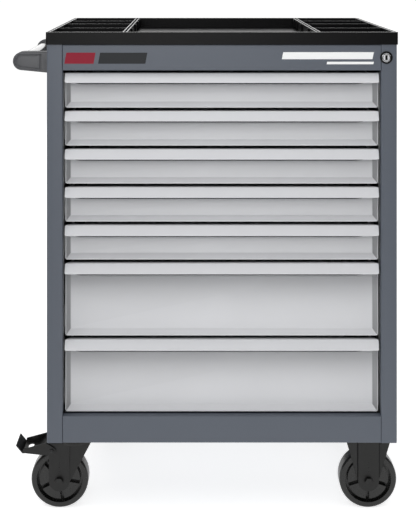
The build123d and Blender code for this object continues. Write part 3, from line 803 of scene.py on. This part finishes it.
class CHEST_OT_cabinet(bpy.types.Operator):
    """Folded body panels with rounded edges, in slate powder coat"""

    bl_idname = "tool_chest.cabinet"
    bl_label = "Cabinet body"

    def execute(self, context):
        for node in ("side_panel_left", "side_panel_right", "top_fascia", "plinth"):
            shape = cad_copy(node)
            piece(f"{node}_folded", shape, "cabinet", "root", (node,), edge=mm(0.35))
        paint("cabinet", "back_panel", "base_plate", "top_deck")
        return {"FINISHED"}


# ------------------------------------------------------------------ fascia stripes


def stripe(name, finish, left, right, low, high, skew=0.0):
    """A thin printed block on the fascia; skew leans its ends over like italic bars."""
    y = front_y
    film = mm(0.12)
    shape = bmesh.new()
    front = [
        (centre_x + mm(left), y - film, mm(low)),
        (centre_x + mm(right), y - film, mm(low)),
        (centre_x + mm(right + skew), y - film, mm(high)),
        (centre_x + mm(left + skew), y - film, mm(high)),
    ]
    rear = [(x, y + film * 0.2, z) for x, _, z in front]
    bridge(shape, [front, rear], closed=True)
    shape.verts.ensure_lookup_table()
    shape.faces.new(shape.verts[0:4])
    shape.faces.new(shape.verts[4:8])
    tidy(shape)
    piece(name, shape, finish, "root")


class CHEST_OT_stripes(bpy.types.Operator):
    """Plain printed bars on the fascia"""

    bl_idname = "tool_chest.stripes"
    bl_label = "Fascia stripes"

    def execute(self, context):
        stripe("fascia_bar_red", "stripe_red", -313, -255, 906, 928, 4)
        stripe("fascia_bar_dark", "stripe_dark", -246, -152, 906, 928, 4)
        stripe("fascia_bar_white", "stripe_white", 119, 299, 915, 929, 3)
        stripe("fascia_line_white", "stripe_white", 208, 301, 905, 910, 1)
        return {"FINISHED"}


# ------------------------------------------------------------------ organiser tray


def stepped_block(shape, xs, ys, height_of, base_z):
    """A closed block over a grid of X and Y lines whose cells stand at their own heights."""
    columns = len(xs) - 1
    rows = len(ys) - 1
    corners = {}

    def vertex(i, j, z):
        key = (i, j, round(z, 6))
        if key not in corners:
            corners[key] = shape.verts.new((xs[i], ys[j], z))
        return corners[key]

    middles_x = [(a + b) / 2 for a, b in zip(xs, xs[1:])]
    middles_y = [(a + b) / 2 for a, b in zip(ys, ys[1:])]
    heights = [[height_of(x, y) for y in middles_y] for x in middles_x]

    def height(i, j):
        inside = 0 <= i < columns and 0 <= j < rows
        return heights[i][j] if inside else base_z

    for i in range(columns):
        for j in range(rows):
            z = height(i, j)
            top = [vertex(i, j, z), vertex(i + 1, j, z), vertex(i + 1, j + 1, z), vertex(i, j + 1, z)]
            shape.faces.new(top)
            around = ((i, j), (i, j + 1), (i + 1, j + 1), (i + 1, j))
            under = [vertex(*corner, base_z) for corner in around]
            shape.faces.new(under)
    levels = sorted({z for column in heights for z in column} | {base_z})

    def wall(a, b, low, high):
        cuts = [z for z in levels if low <= z <= high]
        for z0, z1 in zip(cuts, cuts[1:]):
            shape.faces.new([vertex(*a, z0), vertex(*b, z0), vertex(*b, z1), vertex(*a, z1)])

    for i in range(columns + 1):
        for j in range(rows):
            left, right = height(i - 1, j), height(i, j)
            if left != right:
                wall((i, j), (i, j + 1), min(left, right), max(left, right))
    for j in range(rows + 1):
        for i in range(columns):
            near, far = height(i, j - 1), height(i, j)
            if near != far:
                wall((i, j), (i + 1, j), min(near, far), max(near, far))
    bmesh.ops.recalc_face_normals(shape, faces=shape.faces)


def tray_ribs_tree(finish):
    """Geometry Nodes tree: a small upright rib on every vertex of the mesh it is given."""
    tree, given = start_tree("tray_slot_ribs", {"Points": "Geometry", "Size": "Vector"})
    rib = add(tree, "GeometryNodeMeshCube", None, {"Size": given["Size"]})
    return close_tree(tree, given["Points"], rib.outputs["Mesh"], finish)


def tray_walls(low, high):
    """Middles of a side bay's cross walls from the tray's front edge, as shares of its depth."""
    return [(high.y - low.y) * share for share in (0.2804, 0.5609, 0.7761)]


class CHEST_OT_tray(bpy.types.Operator):
    """Moulded organiser tray with stepped rim, grooved dividers and slot ribs"""

    bl_idname = "tool_chest.tray"
    bl_label = "Organiser tray"

    def execute(self, context):
        sizes = context.scene.tool_chest.tray
        low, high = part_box("organiser_tray")
        middle = (low.x + high.x) / 2
        floor_z = low.z + sizes.floor
        walls = tray_walls(low, high)
        half = (high.x - low.x) / 2
        wall_half = sizes.divider / 2
        rim_steps = (0, sizes.lip, sizes.rim - sizes.inner_lip, sizes.rim)
        x_lines = sorted(
            {0.0}
            | {s * (half - o) for s in (1, -1) for o in rim_steps}
            | {
                s * (sizes.divider_x + o)
                for s in (1, -1)
                for o in (-wall_half, -sizes.groove / 2, sizes.groove / 2, wall_half)
            }
        )
        y_lines = sorted(
            {low.y + o for o in (0, sizes.lip, sizes.rim - sizes.inner_lip, sizes.rim)}
            | {high.y - o for o in (0, sizes.lip, sizes.rim - sizes.inner_lip, sizes.rim)}
            | {low.y + w + s * sizes.cross_wall / 2 for w in walls for s in (1, -1)}
        )

        def height_of(x, y):
            edge = min(half - abs(x - middle), y - low.y, high.y - y)
            if edge < sizes.lip:
                return high.z
            if edge < sizes.rim - sizes.inner_lip:
                return high.z - sizes.step
            if edge < sizes.rim:
                return high.z - mm(0.3)
            from_divider = abs(abs(x - middle) - sizes.divider_x)
            if from_divider < sizes.groove / 2:
                return high.z - mm(7)
            if from_divider < wall_half:
                return high.z - mm(0.6)
            across = min(abs(y - low.y - w) for w in walls)
            if abs(x - middle) > sizes.divider_x and across < sizes.cross_wall / 2:
                return high.z - sizes.cross_drop
            return floor_z

        shape = bmesh.new()
        stepped_block(shape, [middle + x for x in x_lines], y_lines, height_of, low.z)
        upright = [
            edge
            for edge in shape.edges
            if abs(edge.verts[0].co.x - edge.verts[1].co.x) < 1e-6
            and abs(edge.verts[0].co.y - edge.verts[1].co.y) < 1e-6
            and abs(abs(edge.verts[0].co.x - middle) - half) < 1e-6
            and min(abs(edge.verts[0].co.y - low.y), abs(edge.verts[0].co.y - high.y)) < 1e-6
        ]
        bmesh.ops.bevel(shape, geom=upright, offset=sizes.lip * 0.9, segments=4, affect="EDGES", profile=0.5)
        moulding = piece(
            "organiser_tray_moulding", shape, "tray", "root", ("organiser_tray",), edge=mm(0.6)
        )
        # Painted highlight: the upward faces at the very top of the rim and the dividers take the lighter edge
        # finish.
        moulding.data.materials.append(materials["tray_edge"])
        for face in moulding.data.polygons:
            if face.normal.z > 0.9 and face.center.z > high.z - mm(0.8):
                face.material_index = 1
        self.ribs(sizes, low, high, middle, half, walls, floor_z)
        return {"FINISHED"}

    def ribs(self, sizes, low, high, middle, half, walls, floor_z):
        """Slot ribs beside every cross wall's ends and on the wide bay's sides."""
        tree = tray_ribs_tree("tray")
        tall = high.z - mm(2.2) - floor_z
        side = sizes.cross_wall / 2 + mm(1.6)
        points = []
        for wall in walls:
            for end_x in (half - sizes.rim - mm(2.2), sizes.divider_x + sizes.divider / 2 + mm(2.2)):
                for s in (1, -1):
                    for offset in (side, -side):
                        points.append((middle + s * end_x, low.y + wall + offset, floor_z + tall / 2))
        bay_x = sizes.divider_x - sizes.divider / 2 - mm(1.4)
        for wall in walls + [walls[-1] + mm(58)]:
            for s in (1, -1):
                for offset in (mm(4.5), -mm(4.5)):
                    points.append((middle + s * bay_x, low.y + wall + offset, floor_z + tall / 2))
        mesh = grown("organiser_tray_slot_ribs", tree, {"Size": (mm(4.4), mm(3.0), tall)}, points)
        dress("organiser_tray_slot_ribs", mesh, "tray", "root", edge=mm(0.5))


# ------------------------------------------------------------------ push handle


def bracket_ring(low, high, inset, right, y, steps=14):
    """A bracket's outline drawn in by inset: round nose, sloping lower edge, and its end at X right."""
    top = high.z - inset
    radius = (high.z - nose_level()) - inset
    nose_x = low.x + (high.z - nose_level())
    centre_z = nose_level()
    lower_left = centre_z - radius
    fall = (low.z - (centre_z - (high.z - centre_z))) / (left_x - nose_x)
    ring = [Vector((right, y, top))]
    for k in range(steps + 1):
        turn = pi / 2 + pi * k / steps
        ring.append(Vector((nose_x + radius * cos(turn), y, centre_z + radius * sin(turn))))
    ring.append(Vector((right, y, lower_left + fall * (right - nose_x))))
    return ring


def nose_level():
    """Height of the nose's middle, taken from the handle tube."""
    tube_low, tube_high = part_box("handle_tube")
    return (tube_low.z + tube_high.z) / 2


class CHEST_OT_handle(bpy.types.Operator):
    """Push handle: two bull-nosed brackets with recessed outer faces, and the gloss tube between them"""

    bl_idname = "tool_chest.handle"
    bl_label = "Push handle"

    def execute(self, context):
        for node, outward in (("handle_bracket_front", -1), ("handle_bracket_rear", 1)):
            low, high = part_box(node)
            face = low.y if outward < 0 else high.y
            inner = high.y if outward < 0 else low.y
            recess = left_x - mm(17)
            shape = bmesh.new()
            rings = [bracket_ring(low, high, 0.0, left_x, inner)]
            for inset, depth, right in (
                (0.0, 2.6, left_x),
                (0.8, 0.7, left_x),
                (2.4, 0.0, left_x),
                (3.6, 0.0, recess),
                (4.3, 1.8, recess - mm(0.8)),
                (6.2, 2.4, recess - mm(2.4)),
                (8.0, 1.2, recess - mm(4.2)),
                (10.0, 0.9, recess - mm(6)),
            ):
                rings.append(bracket_ring(low, high, mm(inset), right, face - outward * mm(depth)))
            rows = bridge(shape, rings, closed=True)
            shape.faces.new(rows[0])
            shape.faces.new(rows[-1])
            tidy(shape)
            piece(
                f"{node}_moulding",
                shape,
                "bracket",
                "root",
                (node,),
                edge=mm(0.3),
                smooth_angle=40,
            )
        low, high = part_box("handle_tube")
        radius = (high.z - low.z) * 500
        centre = ((low.x + high.x) / 2, low.y, (low.z + high.z) / 2)
        along_y = (high.y - low.y) * 1000
        shape = bmesh.new()
        wall = 1.5
        bore = radius - wall
        profile = [(radius, 0), (radius, -along_y), (bore, -along_y), (bore, 0), (radius, 0)]
        lathe(shape, centre, profile, fine_turns)
        tidy(shape)
        piece("handle_tube_gloss", shape, "tube", "root", ("handle_tube",))
        paint("fastener", "handle_screws")
        return {"FINISHED"}


# ------------------------------------------------------------------ casters


def bolt_tree(finish):
    """Geometry Nodes tree: a bolt with its head down, a washer and a nut, on every vertex it is given."""
    inputs = {
        "Points": "Geometry",
        "Head radius": "Float",
        "Head height": "Float",
        "Washer radius": "Float",
        "Shank radius": "Float",
        "Shank length": "Float",
        "Nut seat": "Float",
        "Nut height": "Float",
    }
    tree, given = start_tree("caster_bolts", inputs)

    def drum(sides, radius, depth, foot):
        """A prism whose lower end is at the height foot."""
        drum_sizes = {"Vertices": sides, "Radius": radius, "Depth": depth}
        made = add(tree, "GeometryNodeMeshCylinder", None, drum_sizes)
        middle = add(tree, "ShaderNodeMath", {"operation": "MULTIPLY_ADD"}, {0: depth, 1: 0.5, 2: foot})
        lift = add(tree, "ShaderNodeCombineXYZ", None, {"Z": middle.outputs[0]}).outputs[0]
        inputs = {"Geometry": made.outputs["Mesh"], "Translation": lift}
        return add(tree, "GeometryNodeTransform", None, inputs).outputs["Geometry"]

    downwards = {0: given["Head height"], 1: -1}
    head_foot = add(tree, "ShaderNodeMath", {"operation": "MULTIPLY"}, downwards).outputs[0]
    bolt = add(tree, "GeometryNodeJoinGeometry")
    for part in (
        drum(6, given["Head radius"], given["Head height"], head_foot),
        drum(32, given["Washer radius"], mm(1.2), -mm(0.9)),
        drum(24, given["Shank radius"], given["Shank length"], 0),
        drum(6, given["Head radius"], given["Nut height"], given["Nut seat"]),
    ):
        tree.links.new(part, bolt.inputs["Geometry"])
    return close_tree(tree, given["Points"], bolt.outputs["Geometry"], finish)


def caster_reach():
    """Distance of the casters' plates from the middle of the cabinet, from the rigid axles' bolts."""
    low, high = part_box("rigid_axle_bolts")
    return (low.x + high.x) / 2 - centre_x


class CHEST_OT_casters(bpy.types.Operator):
    """Forks, wheels, brake pedals and their bolts"""

    bl_idname = "tool_chest.casters"
    bl_label = "Casters"

    def execute(self, context):
        for end in caster_ends:
            node = f"wheel_{end}"
            shape = cad_copy(node)
            piece(f"{node}_moulding", shape, "wheel", f"wheel_{end}", (node,), edge=mm(0.7))
        for end in caster_ends[:2]:
            for node, body, edge in (
                (f"swivel_fork_{end}", f"caster_{end}", 0.6),
                (f"brake_pedal_{end}", f"pedal_{end}", 0.5),
            ):
                shape = cad_copy(node)
                piece(f"{node}_pressing", shape, "fork", body, (node,), edge=mm(edge))
            paint("fork", f"axle_bolt_{end}")
        shape = cad_copy("rigid_forks")
        piece("rigid_forks_pressing", shape, "fork", "root", ("rigid_forks",), edge=mm(0.6))
        paint("fork", "swivel_plates", "rigid_axle_bolts")
        self.bolts()
        self.pins()
        return {"FINISHED"}

    def bolts(self):
        """The bolts through every caster plate, with their washers and nuts."""
        low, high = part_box("caster_fasteners")
        head_height = mm(5.3)
        nut_seat = mm(5)
        bolt_x, bolt_y = mm(40), mm(30)  # from the middle of a plate
        plate_y = mm(56)  # from the cabinet's front or back to the middle of a plate
        points = [
            (centre_x + side * caster_reach() + sx * bolt_x, y + sy * bolt_y, low.z + head_height)
            for side in (1, -1)
            for y in (front_y + plate_y, back_y - plate_y)
            for sx in (1, -1)
            for sy in (1, -1)
        ]
        values = {
            "Head radius": mm(7.2),
            "Head height": head_height,
            "Washer radius": mm(8.4),
            "Shank radius": mm(4),
            "Shank length": mm(14),
            "Nut seat": nut_seat,
            "Nut height": high.z - low.z - head_height - nut_seat,
        }
        mesh = grown("caster_bolts", bolt_tree("fastener"), values, points)
        dress("caster_bolts", mesh, "fastener", "root", ("caster_fasteners",), edge=mm(0.3))

    def pins(self):
        """Small pins on the outer cheeks over each axle, and on the brake's pivot."""
        shade_strip_x, shade_strip_half = mm(21.9), mm(0.9)  # place and half the width of the dark strips painted as shade beside a rigid fork's raised band
        shade_strip_foot, shade_strip_top = mm(6), mm(91)  # their ends over the axle
        for end in caster_ends:
            wheel_low, wheel_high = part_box(f"wheel_{end}")
            axle_x = (wheel_low.x + wheel_high.x) / 2
            axle_z = (wheel_low.z + wheel_high.z) / 2
            front = (wheel_low.y + wheel_high.y) / 2 - mm(21)
            shape = bmesh.new()
            for rise in (18, 26.5, 36):
                pin(shape, (axle_x, front, axle_z + mm(rise)), 1.3, 0.7)
            tidy(shape)
            body = f"caster_{end}" if "left" in end else "root"
            piece(f"fork_pins_{end}", shape, "fork", body)
            if "right" in end:
                # Painted shade: two dark strips beside each rigid fork's raised band stand for the shadow along
                # the band's edges.
                shape = bmesh.new()
                for side in (1, -1):
                    x = axle_x + side * shade_strip_x
                    lower = (x - shade_strip_half, front + mm(1.4), axle_z + shade_strip_foot)
                    upper = (x + shade_strip_half, front + mm(2.4), axle_z + shade_strip_top)
                    block(shape, lower, upper)
                piece(f"fork_shade_strips_{end}", shape, "tray", "root", edge=mm(0.3))
        for end in caster_ends[:2]:
            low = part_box(f"brake_pedal_{end}")[0]
            pivot = next(joint["pos_m"] for joint in frame["joints"] if joint["name"] == f"brake_{end}")
            shape = bmesh.new()
            pin(shape, (pivot[0], low.y, pivot[2]), 2.4, 1.0)
            tidy(shape)
            piece(f"brake_pivot_{end}", shape, "trim", f"pedal_{end}")


# ------------------------------------------------------------------ lock


class CHEST_OT_lock(bpy.types.Operator):
    """Lock face: dark collar, chrome ring and the plug with its key slot"""

    bl_idname = "tool_chest.lock"
    bl_label = "Lock"

    def execute(self, context):
        low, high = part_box("lock_housing")
        centre = ((low.x + high.x) / 2, front_y, (low.z + high.z) / 2)
        flange = (high.x - low.x) * 500
        collar = bmesh.new()
        face = [(flange, 0), (flange, 1.1), (flange - 0.9, 1.9), (9.9, 2.1), (9.9, 0.6), (7.2, 0.6)]
        lathe(collar, centre, [(8.7, -22), (8.7, 0)] + face + [(7.2, -22), (8.7, -22)], fine_turns)
        tidy(collar)
        piece("lock_collar", collar, "tray", "root", ("lock_housing",))
        ring = bmesh.new()
        section = [(9.2, 0.4), (9.2, 2.2), (8.8, 2.8), (8.3, 3.0), (7.8, 2.6), (7.5, 1.4), (7.5, 0.4), (9.2, 0.4)]
        lathe(ring, centre, section, fine_turns)
        tidy(ring)
        piece("lock_ring", ring, "chrome", "root")
        plug = cad_copy("lock_plug")
        piece("lock_plug_face", plug, "chrome", "key_lock", ("lock_plug",), edge=mm(0.5))
        low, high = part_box("lock_plug")
        keyway = bmesh.new()
        lower = (centre[0] - mm(2.6), low.y - mm(0.15), centre[2] - mm(5))
        upper = (centre[0] + mm(2.2), low.y + mm(0.4), centre[2] + mm(5))
        block(keyway, lower, upper)
        piece("lock_key_shutter", keyway, "tray", "key_lock", edge=mm(0.3))
        return {"FINISHED"}


# ------------------------------------------------------------------ stage


def softbox(name, place_at, look_at, width, height, watts):
    """A rectangular area light aimed at a point."""
    data = bpy.data.lights.new(name, "AREA")
    data.shape = "RECTANGLE"
    data.size = width
    data.size_y = height
    data.energy = watts
    light = bpy.data.objects.new(name, data)
    bpy.context.scene.collection.objects.link(light)
    light.location = place_at
    light.rotation_euler = (Vector(look_at) - Vector(place_at)).to_track_quat("-Z", "Y").to_euler()


def shade(name, x, level):
    """An upright grey panel beside the view that shades the faces turned towards it."""
    shape = bmesh.new()
    near_y, far_y = front_y - 2.4, front_y - 0.3
    foot_z, top_z = 0.02, 1.3
    corners = [(x, near_y, foot_z), (x, far_y, foot_z), (x, far_y, top_z), (x, near_y, top_z)]
    shape.faces.new([shape.verts.new(corner) for corner in corners])
    mesh = bpy.data.meshes.new(name)
    shape.to_mesh(mesh)
    shape.free()
    mesh.materials.append(studio_paper(name, (level,) * 3))
    panel = bpy.data.objects.new(name, mesh)
    bpy.context.scene.collection.objects.link(panel)


class CHEST_OT_stage(bpy.types.Operator):
    """Pale floor, soft studio light and the camera"""

    bl_idname = "tool_chest.stage"
    bl_label = "Stage"

    def execute(self, context):
        view = context.scene.tool_chest.view
        scene = context.scene
        shape = bmesh.new()
        bmesh.ops.create_grid(shape, x_segments=1, y_segments=1, size=60)
        mesh = bpy.data.meshes.new("studio_floor")
        shape.to_mesh(mesh)
        shape.free()
        colours = context.scene.tool_chest.colours
        mesh.materials.append(studio_paper("studio_paper", colours.paper, view.paper))
        floor = bpy.data.objects.new("studio_floor", mesh)
        scene.collection.objects.link(floor)
        shade("right_shade", centre_x + 0.85, view.shade_right)
        shade("left_shade", centre_x - 0.85, view.shade_left)

        world = bpy.data.worlds.new("studio_room")
        world.use_nodes = True
        background = world.node_tree.nodes["Background"]
        background.inputs["Color"].default_value = (1, 1, 1, 1)
        background.inputs["Strength"].default_value = view.room
        scene.world = world

        target = (centre_x, front_y + 0.2, 0.5)
        softbox("overhead_softbox", (centre_x, front_y - 0.9, 2.9), target, 3.2, 2.2, view.overhead)
        softbox("front_softbox", (centre_x - 0.9, front_y - 3.4, 1.35), target, 2.6, 2.0, view.front)
        softbox("left_softbox", (centre_x - 1.7, front_y - 0.7, 2.5), target, 0.7, 0.7, view.left)
        softbox("back_softbox", (centre_x, back_y + 4, 1.75), (centre_x, back_y, 1.0), 5.0, 1.2, view.back)

        data = bpy.data.cameras.new("studio_camera")
        data.lens = view.lens
        data.sensor_width = 36
        data.shift_x = view.shift_x
        data.shift_y = view.shift_y
        data.clip_end = 200
        camera = bpy.data.objects.new("studio_camera", data)
        scene.collection.objects.link(camera)
        camera.location = (centre_x + view.offset, front_y - view.distance, view.height)
        camera.rotation_euler = (radians(90), 0, 0)
        scene.camera = camera
        scene.view_settings.view_transform = "Standard"
        return {"FINISHED"}


# ------------------------------------------------------------------ panel and registration


class VIEW3D_PT_tool_chest(bpy.types.Panel):
    """Lists the pieces of the tool chest and their settings"""

    bl_label = "Tool Chest"
    bl_space_type = "VIEW_3D"
    bl_region_type = "UI"
    bl_category = "Tool Chest"

    def draw(self, context):
        settings = context.scene.tool_chest
        for operator in builders:
            self.layout.operator(operator.bl_idname)
        for group in (settings.colours, settings.fronts, settings.tray, settings.view):
            box = self.layout.box()
            for name in group.__annotations__:
                box.prop(group, name)


builders = (
    CHEST_OT_cabinet,
    CHEST_OT_stripes,
    CHEST_OT_drawer_fronts,
    CHEST_OT_drawer_insides,
    CHEST_OT_lock,
    CHEST_OT_tray,
    CHEST_OT_handle,
    CHEST_OT_casters,
    CHEST_OT_stage,
)
classes = (ChestColours, ChestFronts, ChestTray, ChestView, ChestSettings, *builders, VIEW3D_PT_tool_chest)


def register():
    for each in classes:
        bpy.utils.register_class(each)
    bpy.types.Scene.tool_chest = PointerProperty(type=ChestSettings)


def unregister():
    del bpy.types.Scene.tool_chest
    for each in reversed(classes):
        bpy.utils.unregister_class(each)


def main():
    register()
    make_materials(bpy.context.scene.tool_chest.colours)
    for operator in builders:
        group, action = operator.bl_idname.split(".")
        getattr(getattr(bpy.ops, group), action)()


if __name__ == "__main__":
    main()
